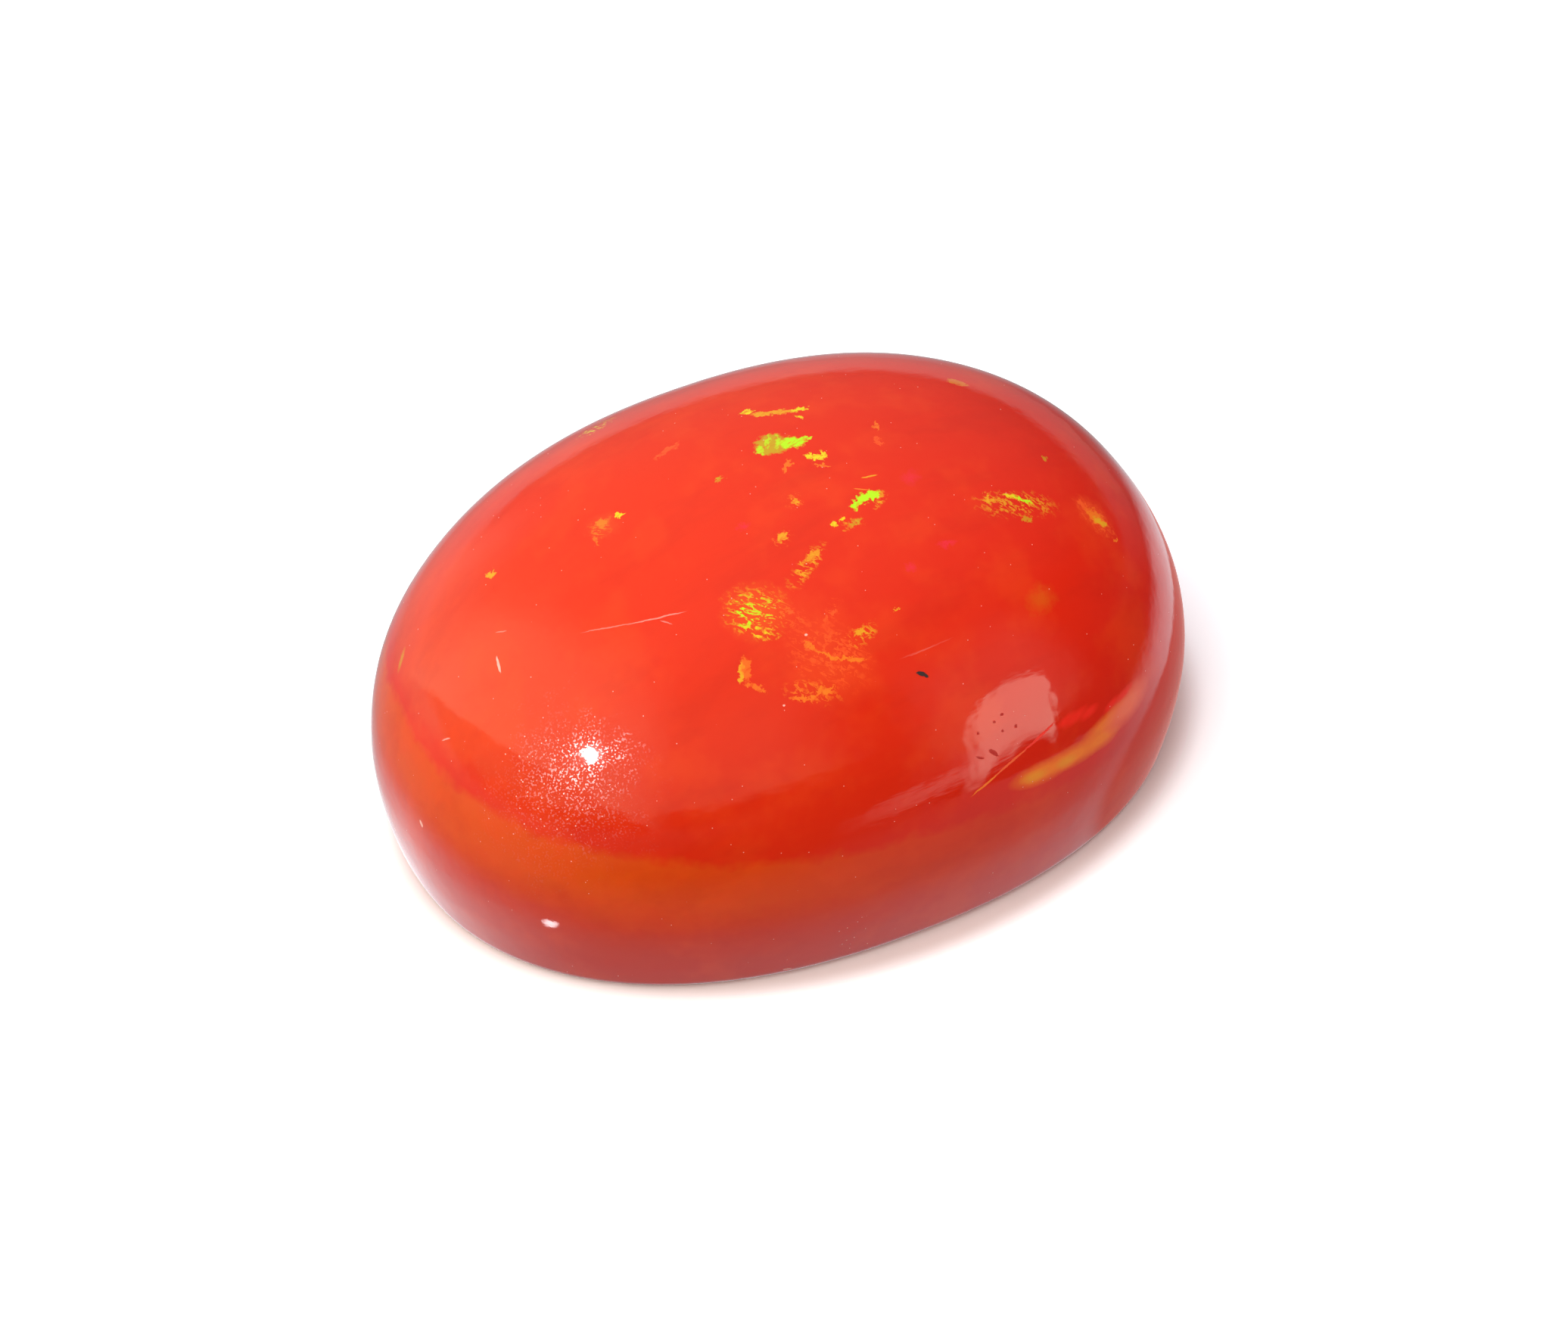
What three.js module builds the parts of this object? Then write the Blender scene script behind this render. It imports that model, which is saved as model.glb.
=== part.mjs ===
// A polished opal cabochon: one natural stone, ground to an oval dome over a low wall and a flat base.
// Millimetres, +Z up. The origin is the middle of the flat base, and +X runs along the stone's length.

import * as THREE from 'three';
import { mergeVertices } from 'three/addons/utils/BufferGeometryUtils.js';

// Driving dimensions
const LENGTH = 12.0;
const WIDTH = 8.7;
const HEIGHT = 5.7;
const GIRDLE_HEIGHT = 1.32; // the height at which the stone is widest
const BASE_INSET = 0.22; // how far the wall draws in below the girdle, measured at the stone's ends
const BASE_BEVEL = 0.1; // the narrow bevel that breaks the sharp edge of the base

// Fullness of the curves: 2 gives a plain ellipse, and a larger number a squarer curve
const PLAN_FULLNESS = 2.25;
const DOME_FULLNESS = 2.15;
const WALL_CURVE = 1.65;

// The surface is stepped in rings: as many from the girdle to the top as from the girdle to the base's middle
const RINGS = 20;
const WALL_RINGS = 4; // how many of the lower ones are on the wall

const HALF_LENGTH = LENGTH / 2;

// Half the stone's length at a height on the wall, which leans out from the base up to the girdle.
function wallReach(height) {
  return HALF_LENGTH - BASE_INSET * (1 - height / GIRDLE_HEIGHT) ** WALL_CURVE;
}

// The dome, a slightly full quarter ellipse: each ring's reach and height, from the girdle to the top.
function domeRings() {
  const rings = [];
  for (let ring = 0; ring < RINGS; ring += 1) {
    const angle = (Math.PI / 2) * (ring / RINGS);
    const reach = HALF_LENGTH * Math.cos(angle) ** (2 / DOME_FULLNESS);
    const rise = (HEIGHT - GIRDLE_HEIGHT) * Math.sin(angle) ** (2 / DOME_FULLNESS);
    rings.push(new THREE.Vector2(reach, GIRDLE_HEIGHT + rise));
  }
  rings.push(new THREE.Vector2(0, HEIGHT));
  return rings;
}

// The wall, the bevel and the flat base: each ring's reach and height, from the girdle to the middle.
function lowerRings() {
  const rings = [];
  for (let ring = 0; ring <= WALL_RINGS; ring += 1) {
    const height = THREE.MathUtils.lerp(GIRDLE_HEIGHT, BASE_BEVEL, ring / WALL_RINGS);
    rings.push(new THREE.Vector2(wallReach(height), height));
  }
  const baseReach = wallReach(0) - BASE_BEVEL;
  const baseRings = RINGS - WALL_RINGS - 1;
  for (let ring = 0; ring <= baseRings; ring += 1) {
    // The square root gives the flat base rings of equal area, with broad faces around its middle.
    rings.push(new THREE.Vector2(baseReach * Math.sqrt(1 - ring / baseRings), 0));
  }
  return rings;
}

// The point of the stone's oval plan, narrower than long and a little square, at a reach and an angle.
function planPoint(reach, angle) {
  const along = Math.cos(angle);
  const across = Math.sin(angle);
  const sum = along ** PLAN_FULLNESS + across ** PLAN_FULLNESS;
  const full = reach / sum ** (1 / PLAN_FULLNESS);
  return new THREE.Vector2(full * along, full * across * (WIDTH / LENGTH));
}

// One closed solid. An eight-sided ball gives evenly sized triangles: its equator becomes the girdle,
// and each ring above and below it goes to its own reach and height.
function stoneGeometry() {
  const ball = new THREE.OctahedronGeometry(1, RINGS - 1);
  ball.deleteAttribute('normal');
  ball.deleteAttribute('uv');
  const stone = mergeVertices(ball);
  const position = stone.getAttribute('position');
  const over = domeRings();
  const under = lowerRings();
  const point = new THREE.Vector3();
  for (let i = 0; i < position.count; i += 1) {
    point.fromBufferAttribute(position, i);
    const level = Math.abs(point.x) + Math.abs(point.y);
    const ring = Math.round((RINGS * Math.abs(point.z)) / (level + Math.abs(point.z)));
    const profile = point.z > 0 ? over : under;
    const angle = ring < RINGS ? (Math.PI / 2) * (Math.abs(point.y) / level) : 0;
    const plan = planPoint(profile[ring].x, angle);
    position.setXYZ(i, Math.sign(point.x) * plan.x, Math.sign(point.y) * plan.y, profile[ring].y);
  }
  stone.computeVertexNormals();
  return stone;
}

// Opal: translucent orange-red silica, polished to a wet gloss.
const opal = new THREE.MeshStandardMaterial({ color: 0xe63b26, roughness: 0.12, metalness: 0 });

const stone = new THREE.Mesh(stoneGeometry(), opal);
stone.name = 'opal_cabochon';

const part = new THREE.Group();
part.name = 'opal_cabochon_part';
part.add(stone);

export default part;
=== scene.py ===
"""A polished opal cabochon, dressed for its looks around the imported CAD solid.

Metres, +Z up. The middle of the flat base is the origin, +X runs along the stone's length, and -Y is its
front.
"""

import math

import bpy
from mathutils import Matrix, Vector


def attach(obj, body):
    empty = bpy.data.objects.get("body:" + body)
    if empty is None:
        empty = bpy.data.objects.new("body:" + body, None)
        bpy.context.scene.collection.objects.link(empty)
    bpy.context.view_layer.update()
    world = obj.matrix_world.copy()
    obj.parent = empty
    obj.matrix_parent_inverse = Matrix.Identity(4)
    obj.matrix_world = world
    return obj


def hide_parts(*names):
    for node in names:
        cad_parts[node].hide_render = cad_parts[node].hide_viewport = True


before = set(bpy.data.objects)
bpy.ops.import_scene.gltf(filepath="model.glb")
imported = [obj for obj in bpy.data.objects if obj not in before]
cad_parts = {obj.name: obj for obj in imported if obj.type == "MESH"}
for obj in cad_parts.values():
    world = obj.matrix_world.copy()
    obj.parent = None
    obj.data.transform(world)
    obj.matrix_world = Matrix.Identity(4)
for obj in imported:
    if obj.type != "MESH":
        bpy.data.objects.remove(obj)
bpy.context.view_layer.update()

MM = 0.001

# The stone's cut, the same as the CAD solid's
LENGTH = 12.0 * MM
WIDTH = 8.7 * MM
HEIGHT = 5.7 * MM
GIRDLE_HEIGHT = 1.32 * MM
BASE_INSET = 0.22 * MM
BASE_BEVEL = 0.1 * MM
PLAN_FULLNESS = 2.25
DOME_FULLNESS = 2.15
WALL_CURVE = 1.65
HALF_LENGTH = LENGTH / 2

# How finely the skin is stepped
AROUND = 192
DOME_RINGS = 90
WALL_RINGS = 24
BASE_RINGS = 14

# The waves of hand polishing: how long and how strong they are, and how high they reach their full height
WAVE_LENGTH = 3.2 * MM
WAVE_STRENGTH = 0.03 * MM
WAVE_RISE = 0.6 * MM

# Faces that meet at more than this keep their edge
SHARP_EDGE = math.radians(38)

# The camera stands to the left of the stone's front and looks down at 45 degrees
CAMERA_AZIMUTH = math.radians(-27.2)
CAMERA_ELEVATION = 45
CAMERA_DISTANCE = 96 * MM
CAMERA_LENS = 152.36
CAMERA_AIM = Vector((0.045 * MM, -0.02 * MM, 1.54 * MM))


def linear(hex_colour):
    """An sRGB hex colour as the linear red, green, blue and alpha that a colour socket takes."""
    parts = [int(hex_colour[place : place + 2], 16) / 255 for place in (1, 3, 5)]
    light = [part / 12.92 if part <= 0.04045 else ((part + 0.055) / 1.055) ** 2.4 for part in parts]
    return (*light, 1.0)


def add_node(tree, kind, sockets=None, stops=None, **settings):
    """Adds a node. Settings are its own properties, sockets gives each input a value or another node's
    output, and stops are a colour ramp's places and colours."""
    node = tree.nodes.new(kind)
    for name, value in settings.items():
        setattr(node, name, value)
    for name, value in (sockets or {}).items():
        if isinstance(value, bpy.types.NodeSocket):
            tree.links.new(value, node.inputs[name])
        else:
            node.inputs[name].default_value = value
    for number, (place, colour) in enumerate(stops or []):
        ramp = node.color_ramp.elements
        stop = ramp[number] if number < 2 else ramp.new(place)
        stop.position = place
        stop.color = colour
    return node


def soft_step(tree, value, start, end):
    """A share that goes smoothly from 0 at one value to 1 at another."""
    step = add_node(
        tree,
        "ShaderNodeMapRange",
        {"Value": value, "From Min": start, "From Max": end},
        interpolation_type="SMOOTHSTEP",
    )
    return step.outputs[0]


def calculate(tree, operation, *values):
    """One step of arithmetic on numbers."""
    return add_node(tree, "ShaderNodeMath", dict(enumerate(values)), operation=operation).outputs[0]


def place_in_mm(tree):
    """Each point's place in its object's own frame, in mm."""
    place = add_node(tree, "ShaderNodeTexCoord").outputs["Object"]
    in_mm = add_node(tree, "ShaderNodeVectorMath", {0: place, "Scale": 1 / MM}, operation="SCALE")
    return in_mm.outputs[0]


def distance_from(tree, in_mm, place):
    """How far each point is from a place, in mm."""
    away = add_node(tree, "ShaderNodeVectorMath", {0: in_mm, 1: place}, operation="DISTANCE")
    return away.outputs["Value"]


def new_material(name):
    """An empty node material, its tree and its output node."""
    material = bpy.data.materials.new(name)
    material.use_nodes = True
    tree = material.node_tree
    tree.nodes.clear()
    output = add_node(tree, "ShaderNodeOutputMaterial")
    return material, tree, output


def view_direction(azimuth, elevation):
    """The direction from the stone towards a place in the studio. Azimuth 0 is the camera's side and
    grows to the camera's right, and both are in degrees."""
    turn = math.radians(azimuth) + CAMERA_AZIMUTH
    rise = math.radians(elevation)
    flat = math.cos(rise)
    return Vector((math.sin(turn) * flat, -math.cos(turn) * flat, math.sin(rise)))


def plan_point(reach, angle):
    """The point of the stone's oval plan, a little squarer than an ellipse, at a reach and an angle."""
    along = math.cos(angle)
    across = math.sin(angle)
    total = abs(along) ** PLAN_FULLNESS + abs(across) ** PLAN_FULLNESS
    full = reach / total ** (1 / PLAN_FULLNESS)
    return full * along, full * across * WIDTH / LENGTH


def dome_profile(steps):
    """Reach and height of each ring of the dome above the girdle, up to the last one below the top."""
    rings = []
    for step in range(1, steps):
        angle = math.pi / 2 * step / steps
        reach = HALF_LENGTH * math.cos(angle) ** (2 / DOME_FULLNESS)
        rise = (HEIGHT - GIRDLE_HEIGHT) * math.sin(angle) ** (2 / DOME_FULLNESS)
        rings.append((reach, GIRDLE_HEIGHT + rise))
    return rings


def wall_reach(height):
    """Half the stone's length at a height on the wall, which leans out from the base up to the girdle."""
    return HALF_LENGTH - BASE_INSET * (1 - height / GIRDLE_HEIGHT) ** WALL_CURVE


def lower_profile(wall_steps, base_steps):
    """Reach and height of each ring below the girdle: the wall, its bevel, and the flat base."""
    rings = []
    for step in range(1, wall_steps + 1):
        height = GIRDLE_HEIGHT + (BASE_BEVEL - GIRDLE_HEIGHT) * step / wall_steps
        rings.append((wall_reach(height), height))
    rings.append((wall_reach(0) - BASE_BEVEL / 2, 0.3 * BASE_BEVEL))
    base_reach = wall_reach(0) - BASE_BEVEL
    for step in range(base_steps):
        rings.append((base_reach * (1 - step / base_steps), 0))
    return rings


def extrude_rings(rings, reach, height):
    """Extrudes the selected ring of edges through each reach and height."""
    for next_reach, next_height in rings:
        rise = (0, 0, next_height - height)
        bpy.ops.mesh.extrude_region_move(TRANSFORM_OT_translate={"value": rise})
        grow = next_reach / reach
        bpy.ops.transform.resize(value=(grow, grow, 1), center_override=(0, 0, next_height))
        reach, height = next_reach, next_height


def make_stone():
    """One closed skin from the girdle's oval: up over the dome, then down the wall and across the base."""
    bpy.ops.object.select_all(action="DESELECT")
    girdle = (0, 0, GIRDLE_HEIGHT)
    bpy.ops.mesh.primitive_circle_add(vertices=AROUND, radius=HALF_LENGTH, location=girdle)
    stone = bpy.context.object
    stone.name = "opal_stone"
    stone.data.name = "opal_stone"
    bpy.ops.object.transform_apply(location=True, rotation=True, scale=True)
    for vertex in stone.data.vertices:
        angle = math.atan2(vertex.co.y, vertex.co.x)
        vertex.co.x, vertex.co.y = plan_point(HALF_LENGTH, angle)

    bpy.ops.object.mode_set(mode="EDIT")
    bpy.ops.mesh.select_mode(type="VERT")
    bpy.ops.mesh.select_all(action="SELECT")
    dome = dome_profile(DOME_RINGS)
    extrude_rings(dome, HALF_LENGTH, GIRDLE_HEIGHT)
    bpy.ops.mesh.extrude_region_move()
    bpy.ops.mesh.merge(type="CENTER")
    top_gap = HEIGHT - dome[-1][1]
    bpy.ops.transform.translate(value=(0, 0, top_gap))

    bpy.ops.mesh.select_all(action="DESELECT")
    bpy.ops.object.mode_set(mode="OBJECT")
    for vertex in stone.data.vertices:
        vertex.select = abs(vertex.co.z - GIRDLE_HEIGHT) < 0.001 * MM
    bpy.ops.object.mode_set(mode="EDIT")
    extrude_rings(lower_profile(WALL_RINGS, BASE_RINGS), HALF_LENGTH, GIRDLE_HEIGHT)
    bpy.ops.mesh.extrude_region_move()
    bpy.ops.mesh.merge(type="CENTER")

    bpy.ops.mesh.select_all(action="SELECT")
    bpy.ops.mesh.normals_make_consistent(inside=False)
    bpy.ops.object.mode_set(mode="OBJECT")
    return stone


def polish_by_hand(stone):
    """The faint waviness that hand polishing leaves on the dome and wall, about 0.01 mm deep. The base,
    lapped on a flat plate, stays flat."""
    polished = stone.vertex_groups.new(name="polished")
    for vertex in stone.data.vertices:
        above_base = min(1, max(0, (vertex.co.z - BASE_BEVEL) / WAVE_RISE))
        polished.add([vertex.index], above_base, "REPLACE")
    waves = bpy.data.textures.new("hand_polish_waves", "CLOUDS")
    waves.noise_scale = WAVE_LENGTH
    waves.noise_depth = 1
    ripple = stone.modifiers.new("hand_polish", "DISPLACE")
    ripple.texture = waves
    ripple.texture_coords = "LOCAL"
    ripple.vertex_group = "polished"
    ripple.strength = WAVE_STRENGTH
    ripple.mid_level = 0.5
    bpy.context.view_layer.objects.active = stone
    stone.select_set(True)
    bpy.ops.object.modifier_apply(modifier="hand_polish")
    bpy.ops.object.shade_smooth_by_angle(angle=SHARP_EDGE)


# Colours of the opal's body: by height, as a share of the stone's, then what is laid over that. The darker
# red low on the wall is partly painted shade, and the orange zone above it is partly painted glow of light
# coming through the thin wall.
BODY_WITH_PAINTED_GLOW_BY_HEIGHT = [
    (0.0, linear("#d42a08")),
    (0.14, linear("#d8340a")),
    (0.25, linear("#e24e0a")),
    (0.355, linear("#e24e0a")),
    (0.385, linear("#e02c06")),
    (1.0, linear("#e83406")),
]
# Paler at the upper left, partly a milkier body and partly painted light; darker red to the right, partly
# the body's own colour and partly painted shade
PALER_LIT_LEFT = linear("#e04c24")
REDDER_SHADED_RIGHT = linear("#e01c04")
CLOUD = linear("#f24a10")
BAND = linear("#b81402")
# A painted highlight: the pale line where the base edge's bevel catches light
PAINTED_EDGE_HIGHLIGHT = linear("#e88c94")

# Colours of the play of colour: each is what the silica's layers send back from that fleck
LIME = linear("#bcf018")
YELLOW = linear("#ecd41c")
GOLD = linear("#eca81c")
ORANGE = linear("#fa7e1c")
EMBER = linear("#fa5a20")
SCARLET = linear("#ff2c1c")
OLIVE = linear("#c8ac1c")
ROSE = linear("#ee2a44")
FLAME = linear("#ff7a10")
SALMON = linear("#ff6a44")

# Colours of what lies on the polish or in it
# Pale specks and marks: dust, lint and scratches, and round the lamp's reflection also painted glints of
# the lamp
DUST_AND_GLINT = linear("#ffbcae")
SOOT = linear("#2a0f0c")
BODY_RED = linear("#b81408")

# How a fleck's edge fades: where it is gone and where it is full, as shares of its reach
CRISP = (1.1, 0.8)
TORN = (1.3, 0.6)
SOFT = (1.3, 0.4)
GLOWING = (1.3, 0.2)

# How far a fleck reaches into the stone, in mm
FLECK_DEPTH = 0.6

# Flecks on the dome: x and y in mm, heading from +X in degrees, length and width in mm, colour, strength
CLEAR_FLECKS = [
    # The long streak near the top
    (0.37, 0.95, -22, 0.70, 0.11, GOLD, 0.90),
    (0.07, 1.17, -16, 0.24, 0.09, YELLOW, 1.00),
    (0.74, 0.84, -16, 0.30, 0.08, YELLOW, 1.00),
    (0.64, 0.67, -45, 0.12, 0.07, YELLOW, 0.90),
    # The green patch under it, with its tail and the orange arcs below
    (0.00, 0.30, 3, 0.48, 0.44, OLIVE, 0.85),
    (-0.18, 0.24, -77, 0.22, 0.11, LIME, 0.80),
    (0.00, 0.39, 60, 0.31, 0.05, LIME, 0.70),
    (0.08, 0.30, 60, 0.31, 0.05, LIME, 0.70),
    (0.26, 0.21, -20, 0.40, 0.26, LIME, 1.00),
    (0.48, 0.21, -17, 0.22, 0.08, LIME, 0.95),
    (0.43, -0.19, -37, 0.30, 0.09, YELLOW, 1.00),
    (0.56, -0.20, 75, 0.23, 0.05, YELLOW, 1.00),
    (0.44, -0.37, -42, 0.24, 0.06, ORANGE, 0.90),
    (0.02, -0.18, 42, 0.29, 0.08, ORANGE, 0.80),
    # The green bars to its right, with crumbs down to the left
    (0.63, -1.16, 24, 0.38, 0.15, LIME, 1.00),
    (0.73, -1.13, 13, 0.36, 0.13, LIME, 1.00),
    (0.84, -1.13, 10, 0.30, 0.15, LIME, 0.95),
    (0.11, -1.37, -35, 0.12, 0.07, YELLOW, 0.95),
    (0.27, -1.34, 20, 0.09, 0.06, YELLOW, 0.95),
    (0.40, -1.45, 10, 0.24, 0.10, OLIVE, 0.60),
    (-0.21, -0.83, 18, 0.13, 0.10, GOLD, 0.90),
    (-0.64, -1.28, 19, 0.18, 0.10, GOLD, 0.90),
    # The streak and the fleck at the right, and small ones near them
    (2.81, -1.55, -28, 0.24, 0.06, YELLOW, 0.95),
    (2.96, -1.60, -33, 0.31, 0.06, LIME, 0.95),
    (2.43, -1.54, 76, 0.18, 0.06, GOLD, 0.90),
    (2.52, -1.59, -11, 0.39, 0.05, GOLD, 0.80),
    (2.88, -1.89, -27, 0.17, 0.07, OLIVE, 0.60),
    (3.96, -1.61, -48, 0.22, 0.09, EMBER, 1.00),
    (4.07, -1.77, -48, 0.42, 0.24, ORANGE, 0.85),
    (4.12, -1.83, -25, 0.28, 0.12, GOLD, 1.00),
    (4.24, -2.04, 30, 0.12, 0.05, ORANGE, 0.90),
    (3.30, 0.91, -30, 0.31, 0.20, GOLD, 0.45),
    (3.74, -0.83, -14, 0.11, 0.09, OLIVE, 0.60),
    (1.54, 0.08, 80, 0.18, 0.07, ORANGE, 0.80),
    (1.41, -0.24, 86, 0.26, 0.11, EMBER, 0.90),
    # The blotch and the bars among the embers in front
    (-1.97, -2.64, 65, 0.32, 0.09, GOLD, 1.00),
    (-1.89, -2.64, 75, 0.36, 0.15, ORANGE, 0.70),
    (-1.86, -2.86, -39, 0.31, 0.08, ORANGE, 0.75),
    (-0.74, -2.89, -40, 0.36, 0.06, ORANGE, 0.95),
    (-0.46, -3.02, -25, 0.37, 0.06, ORANGE, 0.95),
    (-0.94, -2.73, -48, 0.31, 0.06, ORANGE, 0.80),
    (-1.30, -3.17, -26, 0.34, 0.06, ORANGE, 0.85),
    (-0.99, -3.20, 13, 0.35, 0.07, ORANGE, 0.90),
    (-0.38, -1.70, 27, 0.28, 0.11, GOLD, 0.70),
    (-0.20, -2.79, -7, 0.20, 0.08, GOLD, 0.80),
    (0.43, -2.68, 16, 0.12, 0.04, GOLD, 0.80),
    # Single specks to the left
    (-2.64, 0.29, -7, 0.15, 0.12, ORANGE, 0.90),
    (-2.81, 0.08, 77, 0.18, 0.07, ORANGE, 0.70),
    (-2.35, 0.25, -24, 0.15, 0.07, YELLOW, 0.95),
    (-4.10, 0.79, -60, 0.16, 0.09, GOLD, 0.90),
    (-1.26, 1.00, 7, 0.46, 0.12, EMBER, 0.85),
    (-0.93, 0.02, 10, 0.13, 0.11, OLIVE, 0.90),
]

# Broader areas of the dome that show their colour only here and there, in crumbs
BROKEN_FLECKS = [
    (0.91, -1.24, 39, 0.37, 0.12, GOLD, 0.90),
    (0.37, -1.45, 9, 0.39, 0.16, GOLD, 0.80),
    (-0.21, -0.83, 23, 0.26, 0.18, ORANGE, 0.80),
    (-0.65, -1.29, 19, 0.33, 0.20, ORANGE, 0.80),
    (-1.42, -2.09, -32, 0.84, 0.66, GOLD, 0.75),
    (-1.48, -2.06, -4, 0.64, 0.46, LIME, 0.70),
    (-1.62, -2.04, 82, 0.50, 0.20, LIME, 0.80),
    (-1.52, -2.33, -31, 0.46, 0.16, YELLOW, 0.90),
    (-0.54, -1.81, 32, 0.80, 0.22, GOLD, 0.90),
    (-0.49, -2.45, 30, 0.42, 0.16, EMBER, 0.90),
    (-1.02, -2.33, -45, 0.43, 0.26, EMBER, 0.90),
    (-0.72, -2.90, -43, 1.10, 0.80, EMBER, 0.90),
    (-1.12, -3.17, -28, 0.76, 0.28, ORANGE, 0.85),
    (-0.19, -2.81, 17, 0.40, 0.26, GOLD, 0.80),
    (2.83, -1.66, -10, 1.22, 0.40, GOLD, 0.80),
    (4.07, -1.79, -53, 0.70, 0.38, EMBER, 0.90),
    (-2.68, 0.22, 30, 0.36, 0.28, ORANGE, 0.80),
    # On the far side, where the photograph doesn't reach
    (-1.60, 2.60, 20, 0.60, 0.34, YELLOW, 0.80),
    (0.90, 3.00, -12, 0.50, 0.22, GOLD, 0.80),
    (3.60, 2.20, 30, 0.46, 0.30, ORANGE, 0.80),
]

# Soft glows of colour from deeper in the stone
DEEP_FLECKS = [
    (-1.45, -2.08, -13, 0.84, 0.76, ORANGE, 0.30),
    (-0.84, -2.95, -41, 1.30, 1.00, EMBER, 0.28),
    (-0.90, -2.39, -48, 1.10, 0.80, EMBER, 0.20),
    (4.07, -1.74, -53, 0.66, 0.48, EMBER, 0.55),
    (-2.62, 0.23, 0, 0.44, 0.43, EMBER, 0.40),
    (2.59, -2.88, 4, 0.50, 0.38, OLIVE, 0.14),
    (1.52, -1.00, 18, 0.30, 0.20, ROSE, 0.50),
    (0.85, -2.25, 3, 0.16, 0.14, ROSE, 0.70),
    (-1.04, -0.90, -18, 0.20, 0.12, ROSE, 0.60),
    (1.51, -2.08, -11, 0.28, 0.08, ROSE, 0.70),
]

# Flecks on the steep sides: angle round the stone in degrees, height, heading from level, length, width
SIDE_FLECKS = [
    # The flash at the right: orange with golden patches, salmon at its upper end
    (296, 2.26, -8, 0.98, 0.33, FLAME, 1.00),
    (303, 2.21, -10, 0.86, 0.32, FLAME, 1.00),
    (309, 2.16, -5, 0.72, 0.30, FLAME, 0.95),
    (294, 2.27, -13, 0.44, 0.18, GOLD, 0.45),
    (301, 2.20, -13, 0.38, 0.18, GOLD, 0.40),
    (311, 2.35, 3, 1.02, 0.26, FLAME, 0.85),
    (316, 2.32, 5, 0.96, 0.46, SALMON, 1.00),
    # Red strokes above it
    (303, 2.82, 8, 0.34, 0.14, SCARLET, 1.00),
    (305, 2.77, 8, 0.46, 0.16, SCARLET, 1.00),
    (308, 2.70, 4, 0.36, 0.15, SCARLET, 1.00),
    (313, 2.55, 8, 0.35, 0.12, SCARLET, 0.90),
    (316, 2.53, 6, 0.41, 0.13, SCARLET, 0.90),
    # A faint one at the left end
    (168, 3.20, -50, 0.32, 0.10, OLIVE, 0.50),
    # On the far side
    (62, 2.60, 10, 0.90, 0.16, GOLD, 0.85),
    (100, 3.00, -20, 0.50, 0.14, EMBER, 0.85),
    (134, 2.20, 14, 0.80, 0.12, ORANGE, 0.80),
    (20, 2.40, 30, 0.60, 0.12, YELLOW, 0.70),
]

# Thin straight lines of colour, then scratches, lint, dust and a black speck, all matt
FINE_MARKS = [
    (0.76, -0.99, -27, 0.25, 0.025, ORANGE, 0.90),
    (0.96, -0.82, -6, 0.24, 0.030, GOLD, 0.80),
    (-3.29, -1.24, -22, 0.75, 0.018, DUST_AND_GLINT, 0.30),
    (-2.68, -1.52, -15, 0.80, 0.024, DUST_AND_GLINT, 0.45),
    (-2.60, -1.64, -49, 0.18, 0.018, DUST_AND_GLINT, 0.35),
    (-4.41, -0.17, -40, 0.19, 0.020, DUST_AND_GLINT, 0.35),
    (-4.64, -0.54, 72, 0.27, 0.042, DUST_AND_GLINT, 0.85),
    (-0.94, -2.59, 0, 0.045, 0.040, DUST_AND_GLINT, 1.00),
    (-1.56, -3.15, 0, 0.035, 0.030, DUST_AND_GLINT, 0.90),
    (0.48, -3.17, 2, 0.56, 0.022, DUST_AND_GLINT, 0.08),
    (0.70, -3.16, 3, 0.70, 0.022, DUST_AND_GLINT, 0.07),
    (0.44, -3.37, -41, 0.14, 0.070, SOOT, 1.00),
    (0.49, -3.40, -52, 0.10, 0.045, SOOT, 1.00),
    (0.40, -3.35, -8, 0.07, 0.035, SOOT, 0.90),
]

# The same on the steep sides, as in SIDE_FLECKS
SIDE_MARKS = [
    # A thin bright line above the flash, golden at one end and red at the other
    (284, 2.53, 21, 0.52, 0.036, FLAME, 0.95),
    (290, 2.68, 16, 0.62, 0.040, EMBER, 0.95),
    (297, 2.83, 14, 0.62, 0.046, SCARLET, 0.95),
    # Two bits of lint and a hair
    (186, 3.20, 46, 0.18, 0.024, DUST_AND_GLINT, 0.60),
    (186, 1.79, -40, 0.11, 0.060, DUST_AND_GLINT, 0.90),
    (244, 0.16, -4, 0.14, 0.030, DUST_AND_GLINT, 0.70),
    # Pits where the window's reflection is broken
    (291, 3.39, -25, 0.06, 0.045, BODY_RED, 0.90),
    (289, 3.34, -24, 0.05, 0.040, BODY_RED, 0.90),
    (293, 3.15, -68, 0.06, 0.045, BODY_RED, 0.90),
    (285, 3.30, -51, 0.05, 0.045, BODY_RED, 0.90),
    (290, 3.18, -25, 0.05, 0.040, BODY_RED, 0.90),
    (287, 2.94, -52, 0.20, 0.065, BODY_RED, 0.90),
    (284, 2.96, -32, 0.14, 0.035, BODY_RED, 0.85),
]


def dome_height(x, y):
    """The height of the dome over a point of the plan."""
    across = abs(y) * LENGTH / WIDTH
    reach = (abs(x) ** PLAN_FULLNESS + across**PLAN_FULLNESS) ** (1 / PLAN_FULLNESS)
    share = min(1, reach / HALF_LENGTH)
    rise = (1 - share**DOME_FULLNESS) ** (1 / DOME_FULLNESS)
    return GIRDLE_HEIGHT + (HEIGHT - GIRDLE_HEIGHT) * rise


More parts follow.
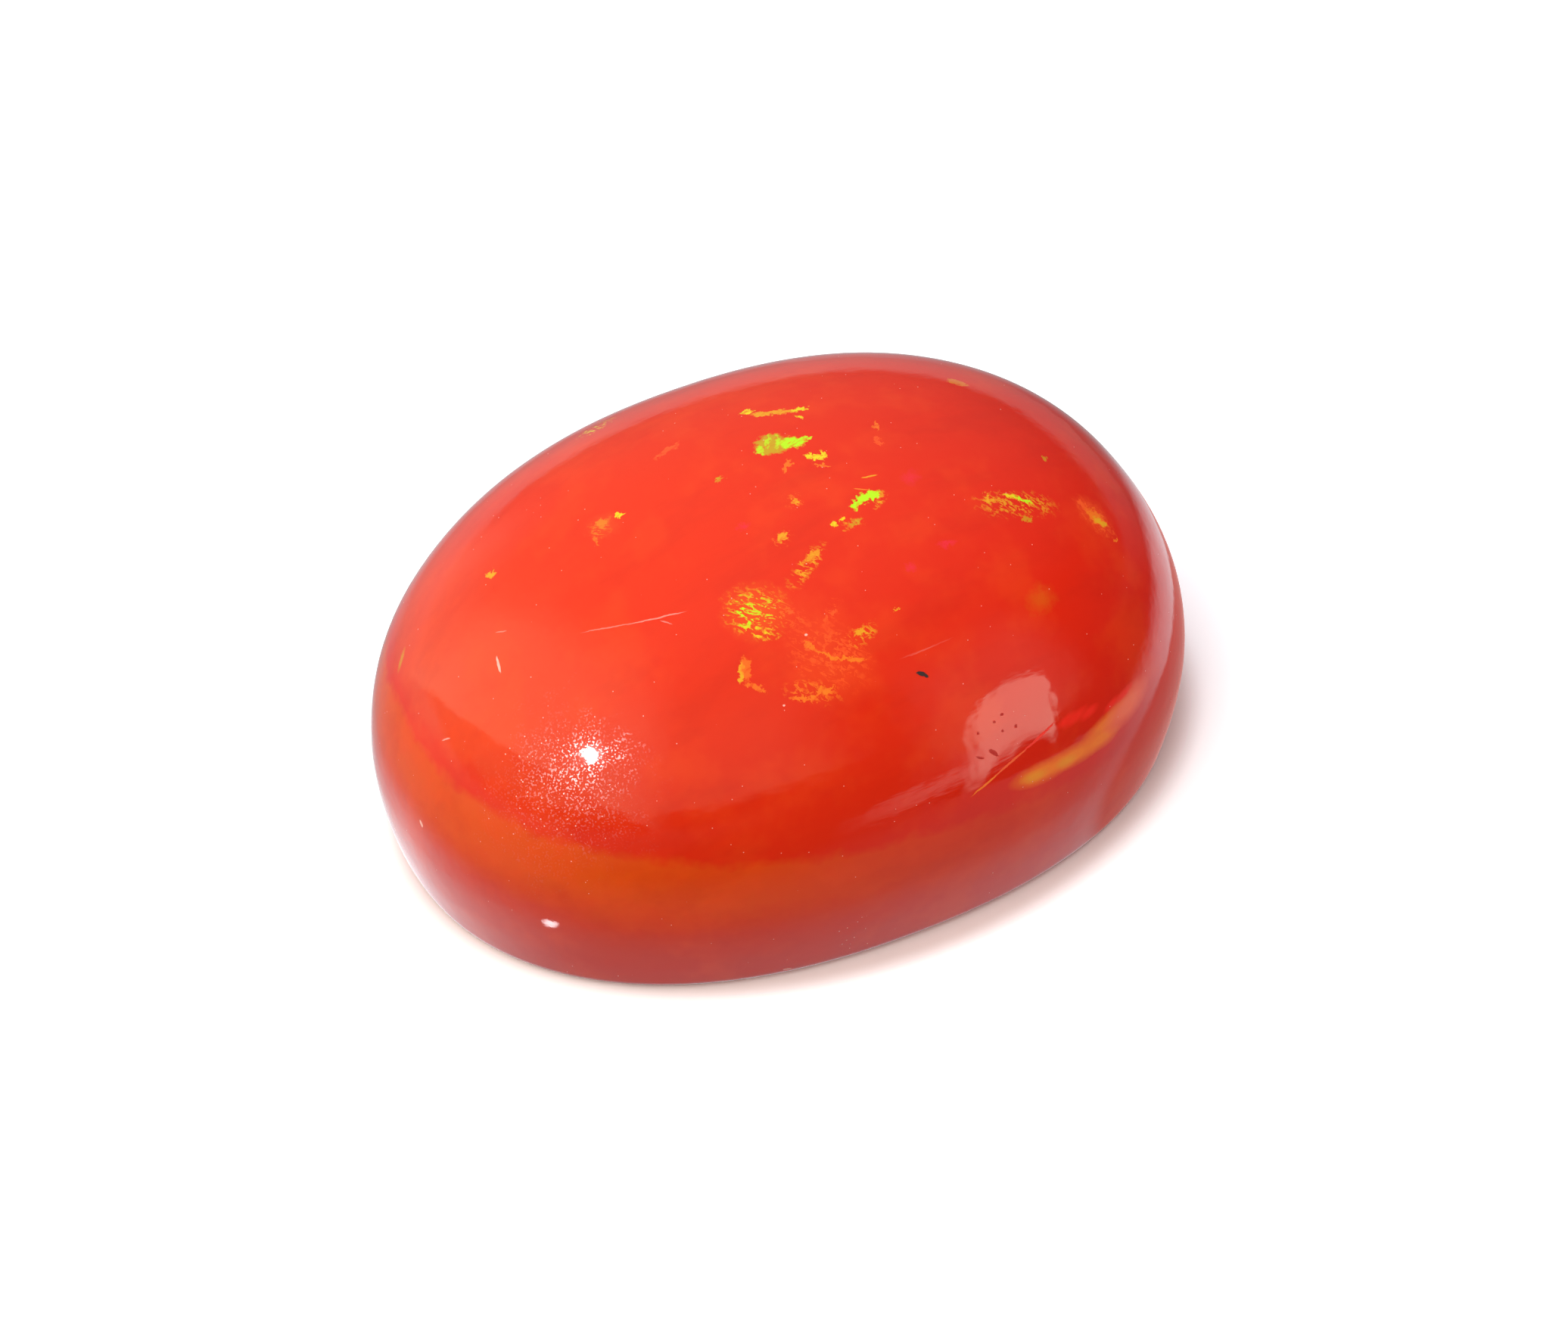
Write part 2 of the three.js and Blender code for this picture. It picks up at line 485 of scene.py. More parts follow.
def surface_normal(place):
    """The way the skin faces at a place on the dome, from two short steps along it."""
    step = 0.02 * MM
    slope_x = (dome_height(place.x + step, place.y) - dome_height(place.x - step, place.y)) / (2 * step)
    slope_y = (dome_height(place.x, place.y + step) - dome_height(place.x, place.y - step)) / (2 * step)
    return Vector((-slope_x, -slope_y, 1)).normalized()


def place_on_dome(x, y):
    """A place on the dome over a point of the plan given in mm."""
    return Vector((x * MM, y * MM, dome_height(x * MM, y * MM)))


def place_on_side(degrees, height_in_mm):
    """A place on the stone's steep side, by the angle round the stone and the height."""
    height = height_in_mm * MM
    share = 1.0
    if height > GIRDLE_HEIGHT:
        rise = (height - GIRDLE_HEIGHT) / (HEIGHT - GIRDLE_HEIGHT)
        share = (1 - rise**DOME_FULLNESS) ** (1 / DOME_FULLNESS)
    along = math.cos(math.radians(degrees)) * WIDTH
    across = math.sin(math.radians(degrees)) * LENGTH
    x, y = plan_point(HALF_LENGTH * share, math.atan2(across, along))
    return Vector((x, y, height))


def fleck_mask(tree, coordinates, place, heading, length, width, strength, edge):
    """How much of a fleck shows at each point: its strength within an oval, and none outside its edge."""
    normal = surface_normal(place)
    side = Vector((1, 0, 0))
    steep = normal.z < 0.6
    if steep:
        side = Vector((-normal.y, normal.x, 0))
    along = (side - side.dot(normal) * normal).normalized()
    across = normal.cross(along)
    turn = math.radians(heading)
    long_way = along * math.cos(turn) + across * math.sin(turn)
    short_way = normal.cross(long_way)
    axes = Matrix((long_way, short_way, normal)).transposed()
    gone, full = edge
    reach = Vector((length / 2, width / 2, FLECK_DEPTH)) * gone
    oval = add_node(
        tree,
        "ShaderNodeMapping",
        {
            "Vector": coordinates,
            "Location": place / MM,
            "Rotation": axes.to_euler(),
            "Scale": reach,
        },
        vector_type="TEXTURE",
    )
    # The spherical gradient is 1 at the oval's middle and 0 from its edge outwards
    nearness = add_node(
        tree,
        "ShaderNodeTexGradient",
        {"Vector": oval.outputs[0]},
        gradient_type="SPHERICAL",
    )
    return add_node(
        tree,
        "ShaderNodeMapRange",
        {
            "Value": nearness.outputs["Fac"],
            "From Max": 1 - full / gone,
            "To Max": strength,
        },
    ).outputs[0]


def mix_colour(tree, share, under, over):
    """One colour laid over another by a share."""
    mixed = add_node(
        tree,
        "ShaderNodeMix",
        {"Factor": share, "A": under, "B": over},
        data_type="RGBA",
    )
    return mixed.outputs["Result"]


def opal_material():
    """Precious opal with an orange-red body: hydrated silica, translucent and softly milky, so red light
    spreads about half a millimetre inside it, and hand-polished to a wet gloss that dust and marks
    break."""
    material, tree, output = new_material("Orange-red precious opal, hand-polished")
    in_mm = place_in_mm(tree)
    shader = add_node(
        tree,
        "ShaderNodeBsdfPrincipled",
        {
            "IOR": 1.43,
            "Normal": hand_polish_bump(tree, in_mm),
            "Subsurface Weight": 0.3,
            "Subsurface Radius": (1.0, 0.25, 0.1),
            "Subsurface Scale": 0.6 * MM,
            "Coat Weight": worn_polish(tree, in_mm),
            "Coat Roughness": 0.34,
            "Coat IOR": 1.5,
        },
    )
    colour, matt = opal_colour(tree, in_mm)
    wet_gloss = 0.045
    roughness = calculate(tree, "MULTIPLY_ADD", matt, 0.5, wet_gloss)
    tree.links.new(colour, shader.inputs["Base Color"])
    tree.links.new(roughness, shader.inputs["Roughness"])
    tree.links.new(shader.outputs[0], output.inputs["Surface"])
    return material


def hand_polish_bump(tree, in_mm):
    """The slight unevenness of a hand polish: waves about 0.5 mm long, under long fine lines about 0.08 mm
    apart."""
    waves = add_node(
        tree,
        "ShaderNodeTexNoise",
        {"Vector": in_mm, "Scale": 2.0, "Detail": 2.0, "Roughness": 0.55},
    )
    wavy = add_node(
        tree,
        "ShaderNodeBump",
        {"Height": waves.outputs["Fac"], "Strength": 1.0, "Distance": 0.007 * MM},
    )
    drawn_out = add_node(
        tree,
        "ShaderNodeMapping",
        {"Vector": in_mm, "Rotation": (0, 0, math.radians(-20)), "Scale": (1.6, 12, 12)},
    )
    lines = add_node(
        tree,
        "ShaderNodeTexNoise",
        {"Vector": drawn_out.outputs[0], "Scale": 1.0, "Detail": 2.0, "Roughness": 0.6},
    )
    fine = add_node(
        tree,
        "ShaderNodeBump",
        {
            "Height": lines.outputs["Fac"],
            "Strength": 1.0,
            "Distance": 0.0012 * MM,
            "Normal": wavy.outputs[0],
        },
    )
    return fine.outputs[0]


# The middle of the place where the polish is worn, in mm
WORN_PLACE = (-4.65, -2.35, 3.2)


def worn_polish(tree, in_mm):
    """Fine crumbs where the polish is worn, in one place at the left front, which glint round a lamp's
    reflection. They are drawn about 0.03 mm wide, some three times their real width, to show."""
    crumb_noise = add_node(
        tree,
        "ShaderNodeTexNoise",
        {"Vector": in_mm, "Scale": 34.0, "Detail": 0.0},
    ).outputs["Fac"]
    crumbs = soft_step(tree, crumb_noise, 0.56, 0.72)
    clumps = add_node(
        tree,
        "ShaderNodeTexNoise",
        {"Vector": in_mm, "Scale": 2.5, "Detail": 3.0, "Roughness": 0.75},
    ).outputs["Fac"]
    away = distance_from(tree, in_mm, WORN_PLACE)
    worn = calculate(tree, "MULTIPLY_ADD", clumps, -3.0, away)
    here = soft_step(tree, worn, 0.1, -1.5)
    return calculate(tree, "MULTIPLY", crumbs, here)


def lay_flecks(tree, colour, flecks, placed, coordinates, edge, pattern=None):
    """A colour with flecks laid over it, where their pattern shows them, and how much of each shows."""
    shares = []
    for first, second, heading, length, width, tint, strength in flecks:
        place = placed(first, second)
        share = fleck_mask(tree, coordinates, place, heading, length, width, strength, edge)
        if pattern is not None:
            share = calculate(tree, "MULTIPLY", share, pattern)
        colour = mix_colour(tree, share, colour, tint)
        shares.append(share)
    return colour, shares


def opal_colour(tree, in_mm):
    """The opal's colour, with its flecks and marks laid over the body colour, and where it is matt."""
    colour = body_colour_with_painted_light(tree, in_mm)
    ragged = ragged_place(tree, in_mm, 8.0, 0.28)
    nearly_straight = ragged_place(tree, in_mm, 3.0, 0.06)
    crumbs = crumb_mask(tree, in_mm)
    layers = layer_mask(tree, in_mm)
    colour = lay_flecks(tree, colour, DEEP_FLECKS, place_on_dome, ragged, GLOWING)[0]
    colour = lay_flecks(tree, colour, BROKEN_FLECKS, place_on_dome, ragged, TORN, crumbs)[0]
    colour = lay_flecks(tree, colour, CLEAR_FLECKS, place_on_dome, ragged, CRISP, layers)[0]
    colour = lay_flecks(tree, colour, SIDE_FLECKS, place_on_side, nearly_straight, SOFT)[0]
    matt = dust_and_glint_mask(tree, in_mm)
    # Pale specks: dust, and round the lamp's reflection painted glints of the lamp
    colour = mix_colour(tree, calculate(tree, "MULTIPLY", matt, 0.75), colour, DUST_AND_GLINT)
    colour, fine = lay_flecks(tree, colour, FINE_MARKS, place_on_dome, nearly_straight, CRISP)
    colour, low = lay_flecks(tree, colour, SIDE_MARKS, place_on_side, nearly_straight, CRISP)
    for share in fine + low:
        matt = calculate(tree, "MAXIMUM", matt, share)
    return colour, matt


# Where specks lie thick, each as its place and radius in mm, and the share of all specks that shows in its
# middle: next to the lamp's reflection, where they are dust and also painted glints of the lamp, and low on
# the front, where they are dust
SPECKLED_PLACES = [
    ((-4.75, -2.18, 3.34), 1.2, 0.6),
    ((-1.07, -4.25, 0.57), 0.5, 0.45),
]


def round_specks(tree, in_mm, per_mm, radius):
    """Round specks, so many to the mm, with a radius in specks' distances, and each one's random number."""
    cells = add_node(tree, "ShaderNodeTexVoronoi", {"Vector": in_mm, "Scale": per_mm})
    speck = soft_step(tree, cells.outputs["Distance"], radius, radius * 0.5)
    chance = add_node(tree, "ShaderNodeSeparateColor", {0: cells.outputs["Color"]}).outputs[0]
    return speck, chance


def dust_and_glint_mask(tree, in_mm):
    """Specks of dust and pits in the polish, 0.02 to 0.03 mm across: a few everywhere, and many more in the
    speckled places, where those round the lamp's reflection are also painted glints of the lamp."""
    sparse_speck, sparse_chance = round_specks(tree, in_mm, 6.0, 0.06)
    few = calculate(tree, "MULTIPLY", sparse_speck, calculate(tree, "GREATER_THAN", sparse_chance, 0.5))
    speck, chance = round_specks(tree, in_mm, 15.0, 0.2)
    dense = None
    for place, radius, share in SPECKLED_PLACES:
        here = soft_step(tree, distance_from(tree, in_mm, place), radius, 0.1)
        here = calculate(tree, "MULTIPLY", here, share)
        dense = here if dense is None else calculate(tree, "MAXIMUM", dense, here)
    enough = calculate(tree, "GREATER_THAN", calculate(tree, "ADD", chance, dense), 1.0)
    many = calculate(tree, "MULTIPLY", speck, enough)
    return calculate(tree, "MAXIMUM", few, many)


def body_colour_with_painted_light(tree, in_mm):
    """The opal's colour, with painted light laid into it: an orange zone low on the sides, partly painted
    glow of light coming through the thin wall, over a darker red that is partly painted shade; paler at the
    upper left, partly a milkier body and partly painted light where the soft light falls; darker and redder
    to the right, partly the body's own colour and partly painted shade away from the light; clouded and
    faintly banded, with a pale line round the base edge that is a painted highlight where the bevel catches
    light."""
    apart = add_node(tree, "ShaderNodeSeparateXYZ", {0: ragged_place(tree, in_mm, 1.2, 0.5)})
    level = calculate(tree, "MULTIPLY_ADD", apart.outputs["X"], 0.13, apart.outputs["Z"])
    by_height = add_node(
        tree,
        "ShaderNodeValToRGB",
        {"Fac": calculate(tree, "DIVIDE", level, HEIGHT / MM)},
        stops=BODY_WITH_PAINTED_GLOW_BY_HEIGHT,
    )
    # Paler at the upper left: partly a milkier body, partly painted light where the soft light falls
    to_left = soft_step(tree, apart.outputs["X"], -3.0, -6.0)
    upper = soft_step(tree, apart.outputs["Z"], 2.9, 3.3)
    lit_left_share = calculate(tree, "MULTIPLY", calculate(tree, "MULTIPLY", to_left, upper), 0.7)
    colour = mix_colour(tree, lit_left_share, by_height.outputs[0], PALER_LIT_LEFT)
    # Darker and redder to the right: partly the body's own colour, partly painted shade away from the light
    rightwards = view_direction(90, 0)
    across = add_node(
        tree,
        "ShaderNodeVectorMath",
        {0: in_mm, 1: rightwards},
        operation="DOT_PRODUCT",
    )
    to_right = add_node(
        tree,
        "ShaderNodeMapRange",
        {"Value": across.outputs["Value"], "From Min": -2.5, "From Max": 5.0, "To Max": 0.9},
    )
    colour = mix_colour(tree, to_right.outputs[0], colour, REDDER_SHADED_RIGHT)

    clouds = add_node(
        tree,
        "ShaderNodeTexNoise",
        {"Vector": in_mm, "Scale": 0.9, "Detail": 3.0, "Roughness": 0.6},
    ).outputs["Fac"]
    cloudy = calculate(tree, "MULTIPLY", soft_step(tree, clouds, 0.45, 0.7), 0.3)
    colour = mix_colour(tree, cloudy, colour, CLOUD)
    bands = add_node(
        tree,
        "ShaderNodeTexNoise",
        {
            "Vector": slanted_place(tree, in_mm, 6, (2.6, 0.7, 0.9)),
            "Scale": 1.0,
            "Detail": 4.0,
            "Roughness": 0.6,
        },
    ).outputs["Fac"]
    banded = calculate(tree, "MULTIPLY", soft_step(tree, bands, 0.46, 0.7), 0.16)
    colour = mix_colour(tree, banded, colour, BAND)
    # A painted highlight: a pale line round the base edge, where the bevel catches light
    true_height = add_node(tree, "ShaderNodeSeparateXYZ", {0: in_mm}).outputs["Z"]
    edge_highlight = soft_step(tree, true_height, 0.12, 0.06)
    return mix_colour(tree, calculate(tree, "MULTIPLY", edge_highlight, 0.5), colour, PAINTED_EDGE_HIGHLIGHT)


def ragged_place(tree, in_mm, scale, shift):
    """Places shifted by up to about a third of a shift, in mm, by noise of a scale per mm. It tears the
    edges of whatever is drawn there."""
    noise = add_node(
        tree,
        "ShaderNodeTexNoise",
        {"Vector": in_mm, "Scale": scale, "Detail": 3.0, "Roughness": 0.75},
    )
    centred = add_node(
        tree,
        "ShaderNodeVectorMath",
        {0: noise.outputs["Color"], 1: (0.5, 0.5, 0.5)},
        operation="SUBTRACT",
    )
    shifted = add_node(
        tree,
        "ShaderNodeVectorMath",
        {0: centred.outputs[0], 1: (shift, shift, shift), 2: in_mm},
        operation="MULTIPLY_ADD",
    )
    return shifted.outputs[0]


def slanted_place(tree, in_mm, heading, size):
    """Places counted in pieces of a size in mm, their long side at a heading in degrees."""
    return add_node(
        tree,
        "ShaderNodeMapping",
        {"Vector": in_mm, "Rotation": (0, 0, math.radians(heading)), "Scale": size},
        vector_type="TEXTURE",
    ).outputs[0]


def crumb_mask(tree, in_mm):
    """Torn crumbs through which a broken fleck shows, about 0.15 by 0.06 mm, each brighter or dimmer."""
    crumbs = add_node(
        tree,
        "ShaderNodeTexNoise",
        {
            "Vector": slanted_place(tree, in_mm, -45, (0.15, 0.06, 0.08)),
            "Scale": 1.0,
            "Detail": 3.0,
            "Roughness": 0.65,
            "Distortion": 0.8,
        },
    ).outputs["Fac"]
    shine = add_node(
        tree,
        "ShaderNodeTexNoise",
        {"Vector": in_mm, "Scale": 14.0, "Detail": 2.0, "Roughness": 0.6},
    ).outputs["Fac"]
    bright = add_node(
        tree,
        "ShaderNodeMapRange",
        {"Value": shine, "From Min": 0.34, "From Max": 0.54, "To Min": 0.25},
    ).outputs[0]
    return calculate(tree, "MULTIPLY", soft_step(tree, crumbs, 0.5, 0.57), bright)


def layer_mask(tree, in_mm):
    """The torn layers inside a clear fleck, about 0.06 mm apart, the brightest next to dimmer ones."""
    layers = add_node(
        tree,
        "ShaderNodeTexNoise",
        {
            "Vector": slanted_place(tree, in_mm, 20, (0.22, 0.055, 0.1)),
            "Scale": 1.0,
            "Detail": 2.0,
            "Roughness": 0.6,
        },
    ).outputs["Fac"]
    return add_node(
        tree,
        "ShaderNodeMapRange",
        {"Value": layers, "From Min": 0.32, "From Max": 0.48, "To Min": 0.4},
    ).outputs[0]


# The floor's paper in the light, and a painted shadow next to the stone, reddish as if light came through
# the stone
PAPER = (1.25, 1.27, 1.33, 1)
PAINTED_SHADOW_PAPER = (0.78, 0.68, 0.67, 1)


def make_floor():
    """A plain white floor, exposed like the photograph's: white up to a narrow shadow next to the stone,
    deepened and reddened by a painted shadow ring, as if light came through the stone. The stone's polish
    mirrors the card instead of it."""
    bpy.ops.object.select_all(action="DESELECT")
    bpy.ops.mesh.primitive_plane_add(size=3, location=(0, 0, -0.01 * MM))
    floor = bpy.context.object
    floor.name = "studio_floor"
    floor.visible_glossy = False
    floor.visible_diffuse = False
    material, tree, output = new_material("White paper, matt")
    object_place = add_node(tree, "ShaderNodeTexCoord").outputs["Object"]
    reach = HALF_LENGTH - BASE_INSET
    shadow_side = view_direction(65, 0)
    base = add_node(
        tree,
        "ShaderNodeMapping",
        {
            "Vector": object_place,
            "Location": shadow_side * 0.28 * MM,
            "Scale": (reach, reach * WIDTH / LENGTH, 1),
        },
        vector_type="TEXTURE",
    )
    from_middle = add_node(tree, "ShaderNodeVectorMath", {0: base.outputs[0]}, operation="LENGTH")
    # A painted shadow: a reddish ring on the paper round the stone's foot, shifted to its shadow side
    beside = soft_step(tree, from_middle.outputs["Value"], 1.1, 0.99)
    colour = mix_colour(tree, beside, PAPER, PAINTED_SHADOW_PAPER)
    paper = add_node(tree, "ShaderNodeBsdfDiffuse", {"Color": colour})
    tree.links.new(paper.outputs[0], output.inputs["Surface"])
    floor.data.materials.append(material)


# Corners of the white card, in mm: to the camera's right and away from the camera, seen from the stone
CARD_CORNERS = [(-21, -9), (-9, -16), (4, -12), (11, -9), (18, 10), (2, 16), (-7.5, 8)]

# The table's light as the polish mirrors it: its level near and far, what is added to that, and its colours
TABLE_LEVEL = 0.5
FAR_LEVEL = 0.42
FAR_RIGHT_DROP = -0.26
GLOW_BY_WALL = 0.45
GLOW_AT_LEFT_FRONT = 0.6
GLOW_BEHIND = 0.25
BRIGHT_PATCH = 0.95
LAMP_GLINT = 16.0
TABLE_WHITE = (0.95, 0.96, 1.0)
# The stone's shadow, painted on the card
STONE_SHADOW = (0.75, 0.36, 0.33, 1)


def card_mask(tree, right, away):
    """Where the card shows: it fades out towards the camera, at the left and, more and more softly with the
    distance, at the right. It doesn't show from below."""
    rightness = soft_step(tree, right, -13.0, -5.0)
    edge = calculate(tree, "MULTIPLY_ADD", rightness, 1.5, -12.0)
    inner = calculate(tree, "MULTIPLY_ADD", rightness, 6.0, -11.2)
    depth = calculate(tree, "SUBTRACT", away, edge)
    reach = calculate(tree, "SUBTRACT", inner, edge)
    front_edge = soft_step(tree, calculate(tree, "DIVIDE", depth, reach), 0, 1)
    past_left = calculate(tree, "MULTIPLY_ADD", away, 0.9, right)
    left_edge = soft_step(tree, past_left, -20.0, -15.5)
    inside_right = calculate(tree, "MULTIPLY_ADD", right, -0.95, 9.4)
    inside_right = calculate(tree, "MULTIPLY_ADD", away, 0.31, inside_right)
    blur = add_node(
        tree,
        "ShaderNodeMapRange",
        {"Value": away, "From Min": -3, "From Max": 4, "To Min": 0.6, "To Max": 4.5},
    ).outputs[0]
    right_edge = soft_step(tree, calculate(tree, "DIVIDE", inside_right, blur), -1, 0.3)
    shown = calculate(tree, "MULTIPLY", calculate(tree, "MULTIPLY", front_edge, left_edge), right_edge)
    back = add_node(tree, "ShaderNodeNewGeometry").outputs["Backfacing"]
    return calculate(tree, "MULTIPLY", shown, calculate(tree, "SUBTRACT", 1.0, back))


def within_oval(tree, in_mm, place, turn, size):
    """How far each point is from an oval's middle, 1 being its edge."""
    inside = add_node(
        tree,
        "ShaderNodeMapping",
        {"Vector": in_mm, "Location": place, "Rotation": (0, 0, turn), "Scale": size},
        vector_type="TEXTURE",
    ).outputs[0]
    return add_node(tree, "ShaderNodeVectorMath", {0: inside}, operation="LENGTH").outputs["Value"]


def card_light(tree, in_mm, right, away):
    """The card's light: dimmer behind the stone, most of all to the right, and brighter close round the
    stone, at its left front, behind it and in a broad patch at the right. The lamp glints in it once."""
    far_right = soft_step(tree, calculate(tree, "MULTIPLY_ADD", away, -0.35, right), -4, 4)
    far_level = calculate(tree, "MULTIPLY_ADD", far_right, FAR_RIGHT_DROP, FAR_LEVEL)
    behind = soft_step(tree, away, 2.0, 6.0)
    strength = add_node(tree, "ShaderNodeMix", {0: behind, 2: TABLE_LEVEL, 3: far_level}).outputs[0]

    half_stone = (HALF_LENGTH / MM, WIDTH / 2 / MM, 1)
    from_wall = within_oval(tree, in_mm, (0, 0, 0), -CAMERA_AZIMUTH, half_stone)
    by_wall = soft_step(tree, from_wall, 1.4, 1.0)
    at_left = soft_step(tree, right, -2.5, -5)
    left_front = calculate(tree, "MULTIPLY", at_left, soft_step(tree, away, 0, -3))
    left_front = calculate(tree, "MULTIPLY", left_front, soft_step(tree, from_wall, 1.5, 1.1))
    close_behind = calculate(tree, "MULTIPLY", behind, soft_step(tree, from_wall, 2.8, 1.4))
    from_patch = within_oval(tree, in_mm, (9.6, 4.2, 0), 0.52, (9, 6, 1))
    patch = soft_step(tree, from_patch, 1.0, 0.25)
    # A painted glint of the lamp on the card, which the stone's polish mirrors as a small second highlight
    glint = soft_step(tree, distance_from(tree, in_mm, (-3.88, -5.47, 0)), 0.22, 0.05)
    for place, extra in (
        (by_wall, GLOW_BY_WALL),
        (left_front, GLOW_AT_LEFT_FRONT),
        (close_behind, GLOW_BEHIND),
        (patch, BRIGHT_PATCH),
        (glint, LAMP_GLINT),
    ):
        strength = calculate(tree, "MULTIPLY_ADD", place, extra, strength)

    white = add_node(tree, "ShaderNodeVectorMath", {0: TABLE_WHITE, "Scale": strength}, operation="SCALE")
    # The stone's shadow on the card, painted as a reddish circle
    shadow = soft_step(tree, distance_from(tree, in_mm, (4.2, 2.2, 0)), 4.3, 3.85)
    return mix_colour(tree, shadow, white.outputs[0], STONE_SHADOW)


def card_material():
    """Paper in soft light, drawn as a glow with its light painted in: a painted shadow of the stone,
    reddened as if by the light that comes through it, and a painted glint of the lamp.
    """
    material, tree, output = new_material("White card in soft light")
    in_mm = place_in_mm(tree)
    apart = add_node(tree, "ShaderNodeSeparateXYZ", {0: in_mm})
    right, away = apart.outputs["X"], apart.outputs["Y"]
    light = add_node(tree, "ShaderNodeEmission", {"Color": card_light(tree, in_mm, right, away)})
    clear = add_node(tree, "ShaderNodeBsdfTransparent")
    mixed = add_node(
        tree,
        "ShaderNodeMixShader",
        {0: card_mask(tree, right, away), 1: clear.outputs[0], 2: light.outputs[0]},
    )
    tree.links.new(mixed.outputs[0], output.inputs["Surface"])
    return material


def make_card():
    """The bright part of the table round the stone, seen only in the stone's polish."""
    bpy.ops.object.select_all(action="DESELECT")
    bpy.ops.mesh.primitive_circle_add(vertices=len(CARD_CORNERS), fill_type="NGON", location=(0, 0, 0))
    card = bpy.context.object
    card.name = "white_card"
    for vertex, (right, away) in zip(card.data.vertices, CARD_CORNERS):
        vertex.co = Vector((right * MM, away * MM, -0.005 * MM))
    card.rotation_euler = (0, 0, CAMERA_AZIMUTH)
    card.visible_camera = False
    card.visible_diffuse = False
    card.visible_shadow = False
    card.data.materials.append(card_material())


def soft_window(tree, azimuth, elevation, sides, ends, softness):
    """A soft-edged oblong of the studio's wall: 1 inside it and 0 outside, all in degrees."""
    left = soft_step(tree, azimuth, sides[0], sides[0] + softness[0])
    right = soft_step(tree, azimuth, sides[1], sides[1] - softness[1])
    bottom = soft_step(tree, elevation, ends[0], ends[0] + softness[2])
    top = soft_step(tree, elevation, ends[1], ends[1] - softness[3])
    across = calculate(tree, "MULTIPLY", left, right)
    upright = calculate(tree, "MULTIPLY", bottom, top)
    return calculate(tree, "MULTIPLY", across, upright)


def studio_directions(tree):
    """The azimuth and elevation of each direction, in degrees, counted as view_direction counts them."""
    direction = add_node(tree, "ShaderNodeTexCoord").outputs["Generated"]
    parts = []
    for axis in (view_direction(90, 0), view_direction(0, 0), view_direction(0, 90)):
        part = add_node(
            tree,
            "ShaderNodeVectorMath",
            {0: direction, 1: axis},
            operation="DOT_PRODUCT",
        )
        parts.append(part.outputs["Value"])
    rightwards, frontwards, upwards = parts
    azimuth = calculate(tree, "ARCTAN2", rightwards, frontwards)
    elevation = calculate(tree, "ARCSINE", upwards)
    azimuth = calculate(tree, "DEGREES", azimuth)
    elevation = calculate(tree, "DEGREES", elevation)
    return direction, azimuth, elevation


# What the studio's walls and lights send to the stone
WALL_LIGHT = (0.75, 0.74, 0.62, 1)
LEFT_WALL_LIGHT = (0.85, 0.84, 0.78, 1)
SOFTBOX_LIGHT = (1.6, 1.55, 1.2, 1)
HALO_LIGHT = (0.7, 0.68, 0.6, 1)
SILL_LIGHT = (1.5, 1.4, 1.25, 1)
WINDOW_LIGHT = (3.9, 3.8, 3.2, 1)


def room_level(tree, direction, elevation):
    """The room's own brightness: it grows towards the upper left, and again below the table's level."""
    bright_side = add_node(
        tree,
        "ShaderNodeVectorMath",
        {0: direction, 1: view_direction(-115, 65)},
        operation="DOT_PRODUCT",
    ).outputs["Value"]
    upper = add_node(
        tree,
        "ShaderNodeMapRange",
        {"Value": bright_side, "From Min": 0.0, "From Max": 0.9, "To Min": 0.14, "To Max": 0.7},
    ).outputs[0]
    lower = add_node(
        tree,
        "ShaderNodeMapRange",
        {"Value": bright_side, "From Min": -0.42, "From Max": 0.4, "To Min": 0.12, "To Max": 0.85},
    ).outputs[0]
    above = soft_step(tree, elevation, -5, 1)
    level = add_node(tree, "ShaderNodeMix", {0: above, 2: lower, 3: upper}).outputs[0]
    return add_node(tree, "ShaderNodeCombineXYZ", {0: level, 1: level, 2: level}).outputs[0]


def arched(tree, azimuth, elevation, middle, fall):
    """Elevations that grow with the distance from a middle azimuth, so a level edge drawn by them is an
    arch."""
    from_middle = calculate(tree, "SUBTRACT", azimuth, middle)
    drop = calculate(tree, "MULTIPLY", calculate(tree, "POWER", from_middle, 2), fall)
    return calculate(tree, "ADD", elevation, drop)


